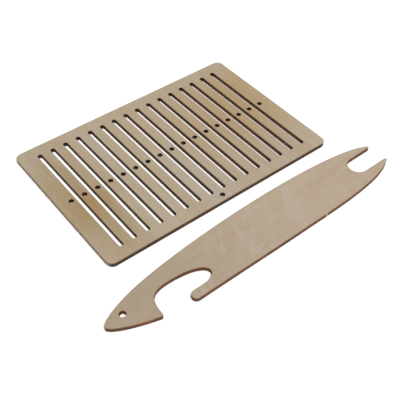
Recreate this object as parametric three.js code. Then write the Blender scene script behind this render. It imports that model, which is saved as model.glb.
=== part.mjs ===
// A small hand-weaving set: a rigid heddle and a hooked stick shuttle, laser-cut from
// three-ply birch plywood. Millimetres, +Z up. Both boards lie flat, undersides on z = 0,
// with the shuttle in front of (towards -Y from) the heddle's long side.
import * as THREE from "three";

// Plywood: three glued veneers in each board.
const PLY_THICKNESS = 1;
const PLY_NAMES = ["back", "core", "face"];

// Heddle: its long side runs along X and its slots run along Y.
const PITCH = 10;
const HEDDLE_LENGTH = 179;
const HEDDLE_WIDTH = 120;
const HEDDLE_CORNER_RADIUS = 5;
const SLOT_COUNT = 16;
const SLOT_WIDTH = 3;
const SLOT_LENGTH = 102;
const WARP_EYE_COUNT = SLOT_COUNT + 1;
const WARP_EYE_RADIUS = 1.6;
const CORD_HOLE_RADIUS = 1.6;
const CORD_HOLE_Y = -55.3;

// Where the shuttle lies: the middle of its own frame, from the heddle's centre.
const SHUTTLE_Y = -91.4;
const SHUTTLE_TURN = THREE.MathUtils.degToRad(1.3);

// Shuttle outline, in its own frame: the nose points to -X and the fork opens to +X.
// A station is a point that the outline flows through. heading is the direction of travel
// in degrees, and arrive and leave are the lengths of the curve's handles on either side.
const NOSE = { x: -115, y: 0, heading: -90, arrive: 4, leave: 3.7 };
const BEAK = { x: -86.3, y: -14, heading: -15, arrive: 14 };
const BEAK_RADIUS = 1.2;
const HOOK_WALL = { heading: 87, leave: 10.5 };
const HOOK_ROOF = { x: -70, y: 3.1, heading: 0, arrive: 12.5, leave: 14 };
const HOOK_END = { x: -44.4, y: -6, heading: -90, arrive: 5.7, leave: 3 };
const FINGER_ROOT = { x: -53, y: -11.2, heading: 180, arrive: 4.5 };
const FINGER_TIP_X = -64.9;
const FINGER_RADIUS = 3.2;
const FINGER_FOOT = { heading: 0, leave: 30 };
const BELLY = { x: 25, y: -18.3, heading: 0, arrive: 30, leave: 30 };
const FORK_SLOT_X = 82.1;
const FORK_SLOT_Y = -0.55;
const FORK_SLOT_RADIUS = 7.05;
const PRONG_RADIUS = 0.8;
const LOWER_PRONG = { x: 107.9, heading: 36, arrive: 17 };
const UPPER_PRONG = { x: 107.4, heading: 148, leave: 15 };
const CROWN = { x: 15, y: 19.3, heading: 180, arrive: 42, leave: 36 };
const SHOULDER = { x: -88, y: 11.6, heading: 191.5, arrive: 26, leave: 9.7 };
const SHUTTLE_EYE = { x: -102.3, y: 1.1, radius: 2.1 };

// How finely each board's arcs and flowing edges are cut into straight steps.
const CURVE_STEPS = { heddle: 5, shuttle: 12 };

const HALF_TURN = Math.PI;
const QUARTER_TURN = Math.PI / 2;
const QUARTER_TURN_DEGREES = 90;

const MATERIALS = {
  heddle_face: { color: 0xb5a283, roughness: 0.6, metalness: 0 },
  heddle_core: { color: 0x6b4a30, roughness: 0.75, metalness: 0 },
  shuttle_face: { color: 0xbaa488, roughness: 0.6, metalness: 0 },
  shuttle_core: { color: 0x7c5236, roughness: 0.75, metalness: 0 },
};

function along(heading, distance) {
  const angle = THREE.MathUtils.degToRad(heading);
  return { x: distance * Math.cos(angle), y: distance * Math.sin(angle) };
}

// One flowing edge: it leaves the first station and reaches the second along their headings.
function flow(outline, from, to) {
  const out = along(from.heading, from.leave);
  const back = along(to.heading, -to.arrive);
  outline.bezierCurveTo(
    from.x + out.x, from.y + out.y, to.x + back.x, to.y + back.y, to.x, to.y,
  );
}

// The angle at which a round that turns to the left is touched by a line on this heading.
function touchAngle(heading) {
  return THREE.MathUtils.degToRad(heading - QUARTER_TURN_DEGREES);
}

// Where that line touches the round.
function onRound(centre, radius, heading) {
  const arm = along(heading - QUARTER_TURN_DEGREES, radius);
  return { x: centre.x + arm.x, y: centre.y + arm.y };
}

function roundHole(x, y, radius) {
  const hole = new THREE.Path();
  hole.absarc(x, y, radius, 0, 2 * HALF_TURN, true);
  return hole;
}

function slotHole(x) {
  const radius = SLOT_WIDTH / 2;
  const reach = SLOT_LENGTH / 2 - radius;
  const slot = new THREE.Path();
  slot.absarc(x, reach, radius, 0, HALF_TURN, false);
  slot.absarc(x, -reach, radius, HALF_TURN, 2 * HALF_TURN, false);
  slot.closePath();
  return slot;
}

function heddleOutline() {
  const x = HEDDLE_LENGTH / 2 - HEDDLE_CORNER_RADIUS;
  const y = HEDDLE_WIDTH / 2 - HEDDLE_CORNER_RADIUS;
  const corners = [[x, y], [-x, y], [-x, -y], [x, -y]];
  const outline = new THREE.Shape();
  corners.forEach(([cornerX, cornerY], turn) => {
    const start = turn * QUARTER_TURN;
    outline.absarc(cornerX, cornerY, HEDDLE_CORNER_RADIUS, start, start + QUARTER_TURN, false);
  });
  outline.closePath();

  for (let slot = 0; slot < SLOT_COUNT; slot += 1) {
    outline.holes.push(slotHole((slot - (SLOT_COUNT - 1) / 2) * PITCH));
  }
  for (let eye = 0; eye < WARP_EYE_COUNT; eye += 1) {
    outline.holes.push(roundHole((eye - (WARP_EYE_COUNT - 1) / 2) * PITCH, 0, WARP_EYE_RADIUS));
  }
  outline.holes.push(roundHole(0, CORD_HOLE_Y, CORD_HOLE_RADIUS));
  return outline;
}

function shuttleOutline() {
  const outline = new THREE.Shape();
  outline.moveTo(NOSE.x, NOSE.y);

  // Under the head to the beak, then round the hook to its finger.
  flow(outline, NOSE, BEAK);
  const beak = onRound(BEAK, -BEAK_RADIUS, BEAK.heading);
  outline.absarc(
    beak.x, beak.y, BEAK_RADIUS,
    touchAngle(BEAK.heading), touchAngle(HOOK_WALL.heading), false,
  );
  const wall = onRound(beak, BEAK_RADIUS, HOOK_WALL.heading);
  flow(outline, { ...HOOK_WALL, ...wall }, HOOK_ROOF);
  flow(outline, HOOK_ROOF, HOOK_END);
  flow(outline, HOOK_END, FINGER_ROOT);
  const finger = { x: FINGER_TIP_X + FINGER_RADIUS, y: FINGER_ROOT.y - FINGER_RADIUS };
  outline.absarc(finger.x, finger.y, FINGER_RADIUS, QUARTER_TURN, 3 * QUARTER_TURN, false);

  // Along the belly to the lower prong, round the fork's slot, and out to the upper prong.
  flow(outline, { ...FINGER_FOOT, x: finger.x, y: finger.y - FINGER_RADIUS }, BELLY);
  const slotLow = FORK_SLOT_Y - FORK_SLOT_RADIUS;
  const slotHigh = FORK_SLOT_Y + FORK_SLOT_RADIUS;
  const lower = { x: LOWER_PRONG.x, y: slotLow - PRONG_RADIUS };
  flow(outline, BELLY, { ...LOWER_PRONG, ...onRound(lower, PRONG_RADIUS, LOWER_PRONG.heading) });
  outline.absarc(
    lower.x, lower.y, PRONG_RADIUS,
    touchAngle(LOWER_PRONG.heading), QUARTER_TURN, false,
  );
  outline.absarc(
    FORK_SLOT_X + FORK_SLOT_RADIUS, FORK_SLOT_Y, FORK_SLOT_RADIUS,
    -QUARTER_TURN, QUARTER_TURN, true,
  );
  const upper = { x: UPPER_PRONG.x, y: slotHigh + PRONG_RADIUS };
  outline.absarc(
    upper.x, upper.y, PRONG_RADIUS,
    -QUARTER_TURN, touchAngle(UPPER_PRONG.heading), false,
  );

  // Back along the crown and over the shoulder to the nose.
  const prongTop = onRound(upper, PRONG_RADIUS, UPPER_PRONG.heading);
  flow(outline, { ...UPPER_PRONG, ...prongTop }, CROWN);
  flow(outline, CROWN, SHOULDER);
  flow(outline, SHOULDER, NOSE);

  outline.holes.push(roundHole(SHUTTLE_EYE.x, SHUTTLE_EYE.y, SHUTTLE_EYE.radius));
  return outline;
}

// A board's veneers, one on another, all cut through by the same outline.
function board(name, outline) {
  const plies = new THREE.Group();
  PLY_NAMES.forEach((ply, layer) => {
    const look = MATERIALS[`${name}_${ply === "core" ? "core" : "face"}`];
    const geometry = new THREE.ExtrudeGeometry(outline, {
      depth: PLY_THICKNESS,
      bevelEnabled: false,
      curveSegments: CURVE_STEPS[name],
    });
    const veneer = new THREE.Mesh(geometry, new THREE.MeshStandardMaterial(look));
    veneer.name = `${name}_${ply}_ply`;
    veneer.position.z = layer * PLY_THICKNESS;
    plies.add(veneer);
  });
  return plies;
}

const heddle = board("heddle", heddleOutline());

const shuttle = board("shuttle", shuttleOutline());
shuttle.position.y = SHUTTLE_Y;
shuttle.rotation.z = SHUTTLE_TURN;

// The set's origin is the middle of the rectangle it covers, on the surface it lies on.
const set = new THREE.Group();
set.add(heddle, shuttle);
const middle = new THREE.Box3().setFromObject(set, true).getCenter(new THREE.Vector3());
set.position.set(-middle.x, -middle.y, 0);

export default set;
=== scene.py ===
"""A rigid heddle and a hooked stick shuttle, laser-cut from birch plywood, on a pale table.

Each board is built again veneer by veneer around the CAD frame: sanded rims, rings beside every
cut that carry its scorch, and a core veneer that the laser ate back a little between two glue
lines. Outlines are in millimetres in each board's own frame, and the meshes are in metres.
"""
import math

import bmesh
import bpy
from mathutils import Matrix, Vector


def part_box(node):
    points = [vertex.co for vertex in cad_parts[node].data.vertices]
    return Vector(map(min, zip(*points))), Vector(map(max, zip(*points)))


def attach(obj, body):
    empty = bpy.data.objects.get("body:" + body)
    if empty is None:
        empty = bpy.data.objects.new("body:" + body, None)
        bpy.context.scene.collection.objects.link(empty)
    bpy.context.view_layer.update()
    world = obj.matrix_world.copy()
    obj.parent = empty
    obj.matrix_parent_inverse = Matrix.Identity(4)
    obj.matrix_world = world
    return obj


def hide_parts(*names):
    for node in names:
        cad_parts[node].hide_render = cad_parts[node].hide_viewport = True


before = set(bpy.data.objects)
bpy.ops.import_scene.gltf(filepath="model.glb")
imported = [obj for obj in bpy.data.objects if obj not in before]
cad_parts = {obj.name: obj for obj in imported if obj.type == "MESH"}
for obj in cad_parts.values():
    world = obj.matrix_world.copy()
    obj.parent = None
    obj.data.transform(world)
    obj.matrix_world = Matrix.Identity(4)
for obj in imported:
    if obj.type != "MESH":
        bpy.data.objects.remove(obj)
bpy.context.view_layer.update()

MM = 0.001

# Heddle, centred on its own middle: long side along X, slots along Y.
PITCH = 10.0
HEDDLE_LENGTH, HEDDLE_WIDTH, HEDDLE_CORNER = 179.0, 120.0, 5.0
SLOT_COUNT, SLOT_WIDTH, SLOT_LENGTH = 16, 3.0, 102.0
EYE_COUNT, EYE_RADIUS = SLOT_COUNT + 1, 1.6
CORD_HOLE = (0.0, -55.3, 1.6)

# Shuttle, in its own frame: nose to -X, fork to +X. A station is a point with a heading in
# degrees and the lengths of its curve handles on the way in and out.
SHUTTLE_TURN = math.radians(1.3)
NOSE = dict(at=(-115, 0), heading=-90, arrive=4, leave=3.7)
BEAK = dict(at=(-86.3, -14), heading=-15, arrive=14)
BEAK_RADIUS = 1.2
HOOK_WALL = dict(heading=87, leave=10.5)
HOOK_ROOF = dict(at=(-70, 3.1), heading=0, arrive=12.5, leave=14)
HOOK_END = dict(at=(-44.4, -6), heading=-90, arrive=5.7, leave=3)
FINGER_ROOT = dict(at=(-53, -11.2), heading=180, arrive=4.5)
FINGER_TIP_X, FINGER_RADIUS = -64.9, 3.2
FINGER_FOOT = dict(heading=0, leave=30)
BELLY = dict(at=(25, -18.3), heading=0, arrive=30, leave=30)
FORK_SLOT = (82.1, -0.55, 7.05)
PRONG_RADIUS = 0.8
LOWER_PRONG = dict(x=107.9, heading=36, arrive=17)
UPPER_PRONG = dict(x=107.4, heading=148, leave=15)
CROWN = dict(at=(15, 19.3), heading=180, arrive=42, leave=36)
SHOULDER = dict(at=(-88, 11.6), heading=191.5, arrive=26, leave=9.7)
SHUTTLE_EYE = (-102.3, 1.1, 2.1)
# The stub of the tab: where it is, half its length, how far it stands out, and its steps.
TAB_X, TAB_Y, TAB_HALF, TAB_OUT, TAB_STEPS = 41.0, -18.2, 1.0, 0.14, 10

# How finely curves are drawn.
ARC_STEP = math.radians(9)
FLOW_STEPS = 48
LONGEST_EDGE = 4.0
SAME_POINT = 1e-4
SHARPEST_MITRE = 0.5
LEVEL_WITHIN = 1e-6

# Veneer edges, in millimetres.
RIM_RADIUS = 0.18
RIM_STEPS = 4
GLUE_GROOVE = 0.05
CORE_RECESS = 0.07
# Rings on the face round a cut, as (distance from it, scorch), and how far soot reaches from a
# slot's end.
SCORCH_RINGS = ((0.36, 0.45), (0.7, 0.0))
SOOTY_END, SOOT_FADE = 3.0, 1.4


# ---------------------------------------------------------------- outlines

def along(heading, distance):
    angle = math.radians(heading)
    return Vector((math.cos(angle), math.sin(angle))) * distance


def arc(centre, radius, start, end):
    """Points on an arc, between two angles in degrees, both ends included."""
    start, end = math.radians(start), math.radians(end)
    steps = max(2, round(abs(end - start) / ARC_STEP))
    angles = [start + (end - start) * i / steps for i in range(steps + 1)]
    return [Vector((centre[0] + radius * math.cos(a), centre[1] + radius * math.sin(a)))
            for a in angles]


def flow(start, end):
    """A flowing edge from one station to the next, both ends included."""
    p0, p3 = Vector(start["at"]), Vector(end["at"])
    p1 = p0 + along(start["heading"], start["leave"])
    p2 = p3 - along(end["heading"], end["arrive"])
    points = []
    for i in range(FLOW_STEPS + 1):
        t = i / FLOW_STEPS
        s = 1 - t
        points.append(p0 * s**3 + p1 * 3 * s * s * t + p2 * 3 * s * t * t + p3 * t**3)
    return points


def closed(points):
    """The loop with repeated points dropped and long straight stretches divided."""
    kept = []
    for a, b in zip(points, points[1:] + points[:1]):
        length = (b - a).length
        if length < SAME_POINT:
            continue
        pieces = math.ceil(length / LONGEST_EDGE)
        kept += [a.lerp(b, i / pieces) for i in range(pieces)]
    return kept


def with_tab(loop):
    """The loop with a low bump on the belly: the stub of the tab that held it in its sheet."""
    points = []
    for a, b in zip(loop, loop[1:] + loop[:1]):
        near = b.y < 0 and b.x > TAB_X - TAB_HALF and a.x < TAB_X + TAB_HALF
        pieces = TAB_STEPS if near else 1
        points += [a.lerp(b, i / pieces) for i in range(pieces)]
    for point in points:
        across = abs(point.x - TAB_X) / TAB_HALF
        if point.y < 0 and across < 1:
            point.y -= TAB_OUT / 2 * (1 + math.cos(math.pi * across))
    return points


def round_hole(x, y, radius):
    return closed(arc((x, y), radius, 360, 0))


def slot_hole(x):
    radius = SLOT_WIDTH / 2
    reach = SLOT_LENGTH / 2 - radius
    return closed(arc((x, -reach), radius, 0, -180) + arc((x, reach), radius, 180, 0))


def heddle_loops():
    """The plate's outline, anticlockwise, then its slots and holes, clockwise."""
    x, y = HEDDLE_LENGTH / 2 - HEDDLE_CORNER, HEDDLE_WIDTH / 2 - HEDDLE_CORNER
    outline = []
    for turn, (sx, sy) in enumerate([(1, 1), (-1, 1), (-1, -1), (1, -1)]):
        outline += arc((sx * x, sy * y), HEDDLE_CORNER, 90 * turn, 90 * turn + 90)
    slots = [slot_hole((i - (SLOT_COUNT - 1) / 2) * PITCH) for i in range(SLOT_COUNT)]
    eyes = [round_hole((i - (EYE_COUNT - 1) / 2) * PITCH, 0, EYE_RADIUS) for i in range(EYE_COUNT)]
    return [closed(outline), *slots, *eyes, round_hole(*CORD_HOLE)]


def shuttle_loops():
    """The shuttle's outline, anticlockwise, then its eye, clockwise."""
    beak = Vector(BEAK["at"]) + along(BEAK["heading"] + 90, BEAK_RADIUS)
    wall = dict(HOOK_WALL, at=beak + along(HOOK_WALL["heading"] - 90, BEAK_RADIUS))
    finger = Vector((FINGER_TIP_X + FINGER_RADIUS, FINGER_ROOT["at"][1] - FINGER_RADIUS))
    foot = dict(FINGER_FOOT, at=finger - Vector((0, FINGER_RADIUS)))
    slot_x, slot_y, slot_radius = FORK_SLOT
    lower = Vector((LOWER_PRONG["x"], slot_y - slot_radius - PRONG_RADIUS))
    upper = Vector((UPPER_PRONG["x"], slot_y + slot_radius + PRONG_RADIUS))
    lower_start = LOWER_PRONG["heading"] - 90
    upper_end = UPPER_PRONG["heading"] - 90
    outline = [
        *flow(NOSE, BEAK),
        *arc(beak, BEAK_RADIUS, BEAK["heading"] - 90, HOOK_WALL["heading"] - 90),
        *flow(wall, HOOK_ROOF),
        *flow(HOOK_ROOF, HOOK_END),
        *flow(HOOK_END, FINGER_ROOT),
        *arc(finger, FINGER_RADIUS, 90, 270),
        *flow(foot, BELLY),
        *flow(BELLY, dict(LOWER_PRONG, at=lower + along(lower_start, PRONG_RADIUS))),
        *arc(lower, PRONG_RADIUS, lower_start, 90),
        *arc((slot_x + slot_radius, slot_y), slot_radius, 270, 90),
        *arc(upper, PRONG_RADIUS, -90, upper_end),
        *flow(dict(UPPER_PRONG, at=upper + along(upper_end, PRONG_RADIUS)), CROWN),
        *flow(CROWN, SHOULDER),
        *flow(SHOULDER, NOSE),
    ]
    return [with_tab(closed(outline)), round_hole(*SHUTTLE_EYE)]


def inset(loop, distance):
    """The loop moved into the material, which lies on its left."""
    moved = []
    for before, here, after in zip(loop[-1:] + loop[:-1], loop, loop[1:] + loop[:1]):
        into = (here - before).normalized()
        out = (after - here).normalized()
        mitre = (Vector((-into.y, into.x)) + Vector((-out.y, out.x))).normalized()
        lean = max(SHARPEST_MITRE, mitre.dot(Vector((-out.y, out.x))))
        moved.append(here + mitre * (distance / lean))
    return moved


def smoke(loop, point):
    """How sooty a cut is at a point: 1 all round a small hole and at the ends of a slot."""
    heights = [p.y for p in loop]
    low, high = min(heights), max(heights)
    from_end = (high - low) / 2 - abs(point.y - (high + low) / 2)
    return max(0.0, min(1.0, (SOOTY_END - from_end) / SOOT_FADE))


# ---------------------------------------------------------------- veneers

def rim(z, away):
    """The rounded rim from a wall to a face at z. away is +1 for an upper face."""
    steps = []
    for i in range(RIM_STEPS + 1):
        angle = math.pi / 2 * i / RIM_STEPS
        drop = RIM_RADIUS * (1 - math.sin(angle))
        steps.append((RIM_RADIUS * (1 - math.cos(angle)), z - away * drop, 1.0))
    return steps


def face_profile(glued_z, face_z):
    """From the glued side to the shown face: (inset, height, scorch) at each loop."""
    away = 1 if face_z > glued_z else -1
    groove = [(GLUE_GROOVE, glued_z, 1.0), (0.0, glued_z + away * GLUE_GROOVE, 1.0)]
    rings = [(distance, face_z, scorch) for distance, scorch in SCORCH_RINGS]
    return groove + rim(face_z, away) + rings


def core_profile(low_z, high_z):
    groove = CORE_RECESS + GLUE_GROOVE
    return [
        (groove, low_z, 1.0), (CORE_RECESS, low_z + GLUE_GROOVE, 1.0),
        (CORE_RECESS, high_z - GLUE_GROOVE, 1.0), (groove, high_z, 1.0),
    ]


def veneer(name, loops, profile, place, materials):
    """One closed veneer: a wall and a rim round every loop, and a flat fill at each end."""
    mesh = bmesh.new()
    scorch = mesh.verts.layers.float.new("scorch")
    soot = mesh.verts.layers.float.new("soot")
    ends = ([], [])
    upward = profile[-1][1] > profile[0][1]
    for loop in loops:
        sooty = [0.0 if loop is loops[0] else smoke(loop, p) for p in loop]
        rows = []
        for distance, height, burn in profile:
            row = [mesh.verts.new((p.x, p.y, height)) for p in inset(loop, distance)]
            for vertex, dark in zip(row, sooty):
                vertex[scorch], vertex[soot] = burn, dark
            rows.append(row)
        for low, high in zip(rows, rows[1:]):
            for i in range(len(loop)):
                j = (i + 1) % len(loop)
                corners = [low[i], low[j], high[j], high[i]]
                face = mesh.faces.new(corners if upward else corners[::-1])
                face.smooth = True
                face.material_index = 1
        for end, row in zip(ends, (rows[0], rows[-1])):
            end += [mesh.edges.get((row[i], row[(i + 1) % len(row)])) for i in range(len(row))]
    for end, normal in zip(ends, ((0, 0, -1), (0, 0, 1)) if upward else ((0, 0, 1), (0, 0, -1))):
        bmesh.ops.triangle_fill(mesh, use_beauty=True, edges=end, normal=normal)
    bmesh.ops.recalc_face_normals(mesh, faces=mesh.faces)
    flat = abs(profile[-1][1])
    for face in mesh.faces:
        if all(abs(abs(v.co.z) - flat) < LEVEL_WITHIN for v in face.verts):
            face.material_index = 0
            face.smooth = False
    bmesh.ops.transform(mesh, matrix=place, verts=mesh.verts)
    data = bpy.data.meshes.new(name)
    mesh.to_mesh(data)
    mesh.free()
    for material in materials:
        data.materials.append(material)
    piece = bpy.data.objects.new(name, data)
    bpy.context.scene.collection.objects.link(piece)
    return piece


# ---------------------------------------------------------------- node materials

class Graph:
    """A node material under construction. Each method adds a node and returns its output."""

    def __init__(self, name):
        self.material = bpy.data.materials.new(name)
        self.material.use_nodes = True
        self.tree = self.material.node_tree
        self.shader = self.tree.nodes["Principled BSDF"]

    def add(self, kind, inputs, output=0, **settings):
        node = self.tree.nodes.new(kind)
        for key, value in settings.items():
            setattr(node, key, value)
        for key, value in inputs.items():
            if isinstance(value, bpy.types.NodeSocket):
                self.tree.links.new(value, node.inputs[key])
            else:
                node.inputs[key].default_value = value
        return node.outputs[output]

    def board(self, place):
        """Millimetres in the board's own frame, which place puts into the object's."""
        here = self.add("ShaderNodeTexCoord", {}, "Object")
        return self.add("ShaderNodeMapping", {
            "Vector": here, "Location": place.translation, "Rotation": place.to_euler(),
            "Scale": place.to_scale()}, vector_type="TEXTURE")

    def moved(self, vector, angle, seed):
        return self.add("ShaderNodeMapping", {
            "Vector": vector, "Rotation": (0, 0, angle), "Location": (seed, -seed, seed / 3)})

    def distance(self, board, x, y, reach_x, reach_y):
        """How far a point is from (x, y) on the board, counted in reaches, at any height."""
        local = self.add("ShaderNodeMapping", {
            "Vector": board, "Location": (x, y, 0), "Scale": (reach_x, reach_y, 1000)},
            vector_type="TEXTURE")
        return self.add("ShaderNodeVectorMath", {0: local}, "Value", operation="LENGTH")

    def patch(self, board, x, y, reach_x, reach_y):
        """1 inside a soft-edged, ragged oval around a point of the board, and 0 well outside."""
        reach = self.distance(board, x, y, reach_x, reach_y)
        ragged = self.noise(self.stretch(board, 0.09, 0.035), 4.0, 0.6)
        return self.span(self.maths("ADD", reach, ragged), 0.7, 2.0, 1.0, 0.0)

    def stretch(self, vector, x, y, z=1.0):
        return self.add("ShaderNodeMapping", {"Vector": vector, "Scale": (x, y, z)})

    def noise(self, vector, detail=2.0, roughness=0.5, distortion=0.0):
        return self.add("ShaderNodeTexNoise", {
            "Vector": vector, "Scale": 1.0, "Detail": detail, "Roughness": roughness,
            "Distortion": distortion}, "Fac")

    def span(self, value, low, high, to_low=0.0, to_high=1.0):
        """A value brought from one range to another, clamped, with eased ends."""
        return self.add("ShaderNodeMapRange", {
            "Value": value, "From Min": low, "From Max": high, "To Min": to_low,
            "To Max": to_high}, interpolation_type="SMOOTHSTEP")

    def axis(self, vector, name):
        return self.add("ShaderNodeSeparateXYZ", {"Vector": vector}, name)

    def maths(self, operation, a, b):
        return self.add("ShaderNodeMath", {0: a, 1: b}, operation=operation)

    def mix(self, amount, a, b, blend="MIX"):
        node = self.tree.nodes.new("ShaderNodeMix")
        node.data_type, node.blend_type = "RGBA", blend
        for socket, value in ((node.inputs[0], amount), (node.inputs[6], a), (node.inputs[7], b)):
            if isinstance(value, bpy.types.NodeSocket):
                self.tree.links.new(value, socket)
            elif isinstance(value, tuple):
                socket.default_value = (*value, 1.0)
            else:
                socket.default_value = value
        return node.outputs[2]

    def attribute(self, name):
        return self.add("ShaderNodeAttribute", {}, "Fac", attribute_name=name)

    def finish(self, colour, roughness, height, depth):
        """Wires the shader. depth is the bump's height in metres."""
        bump = self.add("ShaderNodeBump", {"Height": height, "Distance": depth, "Strength": 1.0})
        links = self.tree.links
        links.new(colour, self.shader.inputs["Base Color"])
        links.new(roughness, self.shader.inputs["Roughness"])
        links.new(bump, self.shader.inputs["Normal"])
        self.shader.inputs["Specular IOR Level"].default_value = WOOD_SPECULAR
        return self.material


def srgb(red, green, blue):
    """Linear colour from the sRGB numbers 0 to 255."""
    def linear(c):
        c /= 255
        return c / 12.92 if c <= 0.04045 else ((c + 0.055) / 1.055) ** 2.4
    return tuple(linear(c) for c in (red, green, blue))


# Colours of the wood. A patch is a place and two reaches on the board, an amount and a colour.
# A wall's three are its usual, its redder and its sootier tone.
HEDDLE_BASE = srgb(176, 160, 136), srgb(178, 165, 147)
HEDDLE_YELLOWS = (
    ((66, 10, 54, 46), 0.85, srgb(173, 149, 113)),
    ((-74, -6, 20, 66), 0.85, srgb(160, 141, 106)),
)
STAIN_PLACE, STAIN = (-70, -10, 15, 13), srgb(160, 131, 90)
SHUTTLE_BASE = srgb(178, 160, 137), srgb(179, 163, 142)
# The head's tone is painted shade: it darkens the shuttle's face towards the nose.
SHUTTLE_HEAD_SHADE = srgb(166, 151, 130)
FLAME = srgb(179, 165, 150)
# Along the shuttle: where the head's painted shade, darker towards the nose, fades out, and where
# its flames come in.
HEAD_SHADE_FADE, PLAIN_HEAD = (-110, 40), (-88, -50)
FLAME_TURN = math.radians(-66)
TOAST = srgb(118, 88, 64)
SOOT = srgb(36, 21, 11)
HEDDLE_UPPER_CHAR = srgb(98, 76, 56), srgb(112, 82, 58), srgb(80, 63, 49)
HEDDLE_CORE_CHAR = srgb(54, 37, 24), srgb(64, 42, 25), srgb(42, 30, 21)
HEDDLE_LOWER_CHAR = srgb(62, 44, 30), srgb(76, 50, 32), srgb(50, 37, 27)
# Where the colour of the plate's walls changes: a warmer, lighter brown in the slots towards +X,
# which is painted light on those walls, and a paler end at -X.
HEDDLE_UPPER_LIT_AND_PALE = srgb(124, 90, 60), srgb(122, 107, 92)
HEDDLE_CORE_LIT_AND_PALE = srgb(104, 70, 43), srgb(152, 136, 119)
HEDDLE_LOWER_LIT_AND_PALE = srgb(98, 68, 44), srgb(190, 176, 160)
INNER_CUTS, PALE_END, PALE_AMOUNT = (57.0, 58.0), (-89.0, -88.0), 0.9
PAINTED_LIGHT_FADE, PAINTED_LIGHT_AMOUNT = (-60, 90), 0.9
SHUTTLE_UPPER_CHAR = srgb(124, 93, 70), srgb(146, 95, 68), srgb(98, 76, 61)
SHUTTLE_CORE_CHAR = srgb(80, 53, 39), srgb(108, 62, 42), srgb(56, 41, 32)
SHUTTLE_LOWER_CHAR = srgb(96, 66, 50), srgb(134, 77, 53), srgb(70, 53, 43)

# How strongly each effect shows. A shade is a linear tint that darkens what is under it.
HEDDLE_SOOT, SHUTTLE_SOOT = 0.9, 0.3
SCORCH_FALL, SCORCH_AMOUNT = 1.6, 0.55
BAND_SHADE, FIBRE_SHADE = (0.9, 0.87, 0.83), (0.86, 0.82, 0.77)
PORE_SHADE, PORE_AMOUNT, PORE_DEPTH = (0.6, 0.5, 0.4), 0.45, 0.8
LINE_SHADE, LINE_AMOUNT = (0.6, 0.55, 0.5), 0.16
FACE_RELIEF, WALL_RELIEF = 0.00004, 0.00008
WOOD_SPECULAR = 0.3
# Each face's own stretch of grain, and how strong its stain or its flames are.
HEDDLE_FACE, HEDDLE_BACK = (140, 0.7), (610, 0.2)
SHUTTLE_FACE, SHUTTLE_BACK = (320, 0.75), (870, 0.5)


def birch(g, board, grain, base, tints, figure):
    """Bare sanded birch. tints are (mask, colour) pairs laid over the base in turn, and figure is
    how strongly pale flames cross the grain, or None."""
    colour = g.mix(g.span(g.noise(g.stretch(grain, 0.02, 0.06), 3.0), 0.35, 0.65), *base)
    for mask, tint in tints:
        colour = g.mix(mask, colour, tint)

    bands = g.noise(g.stretch(grain, 0.006, 0.2), 3.0, 0.6, 0.5)
    colour = g.mix(g.span(bands, 0.3, 0.7, 0.0, 0.5), colour, BAND_SHADE, "MULTIPLY")
    fibres = g.noise(g.stretch(grain, 0.06, 2.2), 4.0, 0.65)
    colour = g.mix(g.span(fibres, 0.3, 0.75, 0.0, 0.6), colour, FIBRE_SHADE, "MULTIPLY")
    pores = g.span(g.noise(g.stretch(grain, 0.5, 6.0), 2.0), 0.66, 0.76)
    colour = g.mix(g.maths("MULTIPLY", pores, PORE_AMOUNT), colour, PORE_SHADE, "MULTIPLY")

    if figure is not None:
        across = g.stretch(g.moved(board, FLAME_TURN, 0.0), 0.045, 0.12)
        flames = g.span(g.noise(across, 2.5, 0.55, 0.9), 0.44, 0.68)
        stands = g.span(g.noise(g.stretch(grain, 0.02, 0.05), 2.0), 0.3, 0.55)
        shown = g.maths("MULTIPLY", g.maths("MULTIPLY", flames, stands), figure)
        colour = g.mix(shown, colour, FLAME)

    # Heat beside each cut: a toasted line at the rim that breaks up as it fades.
    patchy = g.span(g.noise(g.stretch(board, 0.35, 0.35), 3.0), 0.3, 0.7, 0.35, 1.0)
    heat = g.maths("MULTIPLY", g.maths("POWER", g.attribute("scorch"), SCORCH_FALL), patchy)
    colour = g.mix(g.maths("MULTIPLY", heat, SCORCH_AMOUNT), colour, TOAST)

    height = g.maths("SUBTRACT", fibres, g.maths("MULTIPLY", pores, PORE_DEPTH))
    return g.finish(colour, g.span(fibres, 0.3, 0.7, 0.58, 0.72), height, FACE_RELIEF)


def char(g, board, tones, tints):
    """A laser-cut wall: browned wood with redder and sootier stretches and upright lines.
    tints are (mask, colour) pairs laid over it in turn."""
    deep, ember, ash = tones
    along_wall = g.noise(g.stretch(board, 0.09, 0.09, 0.0), 3.0, 0.6)
    colour = g.mix(g.span(along_wall, 0.4, 0.6), deep, ember)
    soot = g.noise(g.stretch(board, 0.15, 0.15, 0.7), 2.0, 0.5)
    colour = g.mix(g.span(soot, 0.4, 0.7, 0.0, 0.5), colour, ash)
    lines = g.noise(g.stretch(board, 5.0, 5.0, 0.2), 1.0)
    colour = g.mix(g.span(lines, 0.35, 0.65, 0.0, LINE_AMOUNT), colour, LINE_SHADE, "MULTIPLY")
    for mask, tint in tints:
        colour = g.mix(mask, colour, tint)
    return g.finish(colour, g.span(soot, 0.3, 0.7, 0.7, 0.9), lines, WALL_RELIEF)


# ---------------------------------------------------------------- the object

def board_place(node, loops, turn):
    """Puts a board's own frame where its CAD node lies: turned, then box middle on box middle."""
    turned = Matrix.Rotation(turn, 4, "Z")
    points = [turned @ p.to_3d() for p in loops[0]]
    middle = [(min(p[k] for p in points) + max(p[k] for p in points)) / 2 for k in (0, 1)]
    low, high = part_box(node)
    target = (low + high) / 2
    shift = Vector((target.x - middle[0] * MM, target.y - middle[1] * MM, 0))
    return Matrix.Translation(shift) @ Matrix.Scale(MM, 4) @ turned


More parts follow.
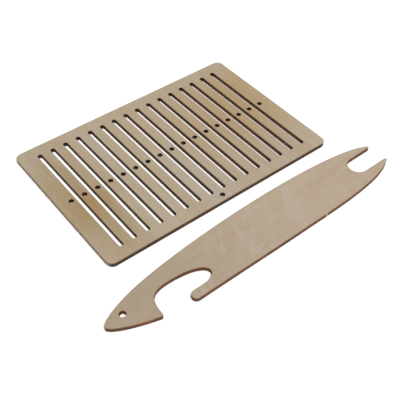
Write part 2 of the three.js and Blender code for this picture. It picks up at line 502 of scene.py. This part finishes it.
def build_board(body, loops, place, faces, backs, cores):
    """Three veneers between the heights that the CAD nodes give."""
    heights = [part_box(f"{body}_{ply}_ply")[0].z / MM for ply in ("back", "core", "face")]
    heights.append(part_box(f"{body}_face_ply")[1].z / MM)
    layers = {
        "back": (face_profile(heights[1], heights[0]), backs),
        "core": (core_profile(heights[1], heights[2]), cores),
        "face": (face_profile(heights[2], heights[3]), faces),
    }
    for ply, (profile, materials) in layers.items():
        piece = veneer(f"{body}_{ply}_veneer", loops, profile, place, materials)
        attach(piece, body)
        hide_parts(f"{body}_{ply}_ply")


def build_heddle():
    loops = heddle_loops()
    place = board_place("heddle_face_ply", loops, 0.0)

    def face(name, seed, stain):
        g = Graph(name)
        board = g.board(place)
        tints = [(g.maths("MULTIPLY", g.patch(board, *where), amount), tint)
                 for where, amount, tint in (*HEDDLE_YELLOWS, (STAIN_PLACE, stain, STAIN))]
        return birch(g, board, g.moved(board, math.pi / 2, seed), HEDDLE_BASE, tints, None)

    def wall(name, tones, painted_light, pale):
        g = Graph(name)
        board = g.board(place)
        along_x = g.axis(board, "X")
        inner = g.span(g.maths("ABSOLUTE", g.axis(board, "Y"), 0.0), *INNER_CUTS, 1.0, 0.0)
        # Painted light: the slot walls are made lighter and warmer towards +X. The -X end is made
        # paler.
        tints = [(g.maths("MULTIPLY", g.span(along_x, *PAINTED_LIGHT_FADE, 0.0, PAINTED_LIGHT_AMOUNT), inner), painted_light),
                 (g.span(along_x, *PALE_END, PALE_AMOUNT, 0.0), pale),
                 (g.maths("MULTIPLY", g.attribute("soot"), HEDDLE_SOOT), SOOT)]
        return char(g, board, tones, tints)

    upper = wall("heddle_upper_char", HEDDLE_UPPER_CHAR, *HEDDLE_UPPER_LIT_AND_PALE)
    core = wall("heddle_core_char", HEDDLE_CORE_CHAR, *HEDDLE_CORE_LIT_AND_PALE)
    lower = wall("heddle_lower_char", HEDDLE_LOWER_CHAR, *HEDDLE_LOWER_LIT_AND_PALE)
    build_board(
        "heddle", loops, place, (face("heddle_face_birch", *HEDDLE_FACE), upper),
        (face("heddle_back_birch", *HEDDLE_BACK), lower), (core, core))


def build_shuttle():
    loops = shuttle_loops()
    place = board_place("shuttle_face_ply", loops, SHUTTLE_TURN)

    def face(name, seed, figure):
        g = Graph(name)
        board = g.board(place)
        # Painted shade: the face is darker towards the nose and clears by x = 40.
        head_shade = g.span(g.axis(board, "X"), *HEAD_SHADE_FADE, 1.0, 0.0)
        shown = g.span(g.axis(board, "X"), *PLAIN_HEAD, figure / 5, figure)
        return birch(g, board, g.moved(board, 0.0, seed), SHUTTLE_BASE, [(head_shade, SHUTTLE_HEAD_SHADE)],
                     shown)

    def wall(name, tones):
        g = Graph(name)
        board = g.board(place)
        off_tab = g.distance(board, TAB_X, TAB_Y, TAB_HALF, 2)
        tints = [(g.maths("MULTIPLY", g.attribute("soot"), SHUTTLE_SOOT), SOOT),
                 (g.span(off_tab, 0.5, 1.1, 0.9, 0.0), FLAME)]
        return char(g, board, tones, tints)

    upper = wall("shuttle_upper_char", SHUTTLE_UPPER_CHAR)
    core = wall("shuttle_core_char", SHUTTLE_CORE_CHAR)
    lower = wall("shuttle_lower_char", SHUTTLE_LOWER_CHAR)
    build_board(
        "shuttle", loops, place, (face("shuttle_face_birch", *SHUTTLE_FACE), upper),
        (face("shuttle_back_birch", *SHUTTLE_BACK), lower), (core, core))


# ---------------------------------------------------------------- table, lights and camera

VIEW_AZIMUTH, VIEW_ELEVATION, VIEW_ROLL = -37.76, 46.49, -0.25
VIEW_DISTANCE, VIEW_RIGHT, VIEW_DOWN = 0.4910, 0.01941, 0.03508
LENS, NEAREST, FARTHEST = 64.21, 0.01, 20.0
FLOOR_SIZE, FLOOR_GAP = 80.0, 0.0003
FLOOR_COLOUR, FLOOR_ROUGHNESS, FLOOR_SPECULAR = (0.97, 0.955, 0.935, 1), 0.8, 0.2
KEY_FROM, KEY_STRENGTH, KEY_SPREAD = (-0.08, -0.36, 0.93), 3.43, math.radians(33)
ROOM_FILL, ROOM_SEEN = 0.12, 1.0


def build_floor():
    floor = bpy.data.meshes.new("floor")
    h = FLOOR_SIZE / 2
    floor.from_pydata([(-h, -h, 0), (h, -h, 0), (h, h, 0), (-h, h, 0)], [], [(0, 1, 2, 3)])
    table = bpy.data.objects.new("floor", floor)
    table.location.z = -FLOOR_GAP
    bpy.context.scene.collection.objects.link(table)
    material = bpy.data.materials.new("pale_floor")
    material.use_nodes = True
    shader = material.node_tree.nodes["Principled BSDF"]
    shader.inputs["Base Color"].default_value = FLOOR_COLOUR
    shader.inputs["Roughness"].default_value = FLOOR_ROUGHNESS
    shader.inputs["Specular IOR Level"].default_value = FLOOR_SPECULAR
    floor.materials.append(material)


def build_lights():
    """A broad key above the camera, so that shadows fall behind the boards, and a little fill from
    a white room. The room lights the boards faintly, and is plain white where it is seen."""
    world = bpy.data.worlds.new("studio")
    world.use_nodes = True
    nodes, links = world.node_tree.nodes, world.node_tree.links
    background = nodes["Background"]
    background.inputs["Color"].default_value = (1.0, 1.0, 1.0, 1)
    room = nodes.new("ShaderNodeMapRange")
    room.inputs["To Min"].default_value = ROOM_FILL
    room.inputs["To Max"].default_value = ROOM_SEEN
    links.new(nodes.new("ShaderNodeLightPath").outputs["Is Camera Ray"], room.inputs["Value"])
    links.new(room.outputs["Result"], background.inputs["Strength"])
    bpy.context.scene.world = world

    key = bpy.data.lights.new("key", "SUN")
    key.energy, key.angle = KEY_STRENGTH, KEY_SPREAD
    light = bpy.data.objects.new("key", key)
    light.rotation_euler = Vector(KEY_FROM).to_track_quat("Z", "Y").to_euler()
    bpy.context.scene.collection.objects.link(light)


def build_camera():
    low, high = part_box("heddle_face_ply")
    subject = Vector(((low.x + high.x) / 2, (low.y + high.y) / 2, high.z))
    a, e = math.radians(VIEW_AZIMUTH), math.radians(VIEW_ELEVATION)
    back = Vector((math.sin(a) * math.cos(e), -math.cos(a) * math.cos(e), math.sin(e)))
    right = Vector((math.cos(a), math.sin(a), 0))
    turn = Matrix.Rotation(math.radians(VIEW_ROLL), 3, back)
    right, up = turn @ right, turn @ back.cross(right)
    camera = bpy.data.objects.new("camera", bpy.data.cameras.new("camera"))
    camera.data.lens = LENS
    axes = Matrix((right, up, back)).transposed().to_4x4()
    spot = subject + back * VIEW_DISTANCE + right * VIEW_RIGHT - up * VIEW_DOWN
    camera.matrix_world = Matrix.Translation(spot) @ axes
    camera.data.clip_start, camera.data.clip_end = NEAREST, FARTHEST
    bpy.context.scene.collection.objects.link(camera)
    bpy.context.scene.camera = camera
    bpy.context.scene.view_settings.view_transform = "Standard"


build_camera()
build_floor()
build_lights()
build_heddle()
build_shuttle()

bpy.context.view_layer.update()
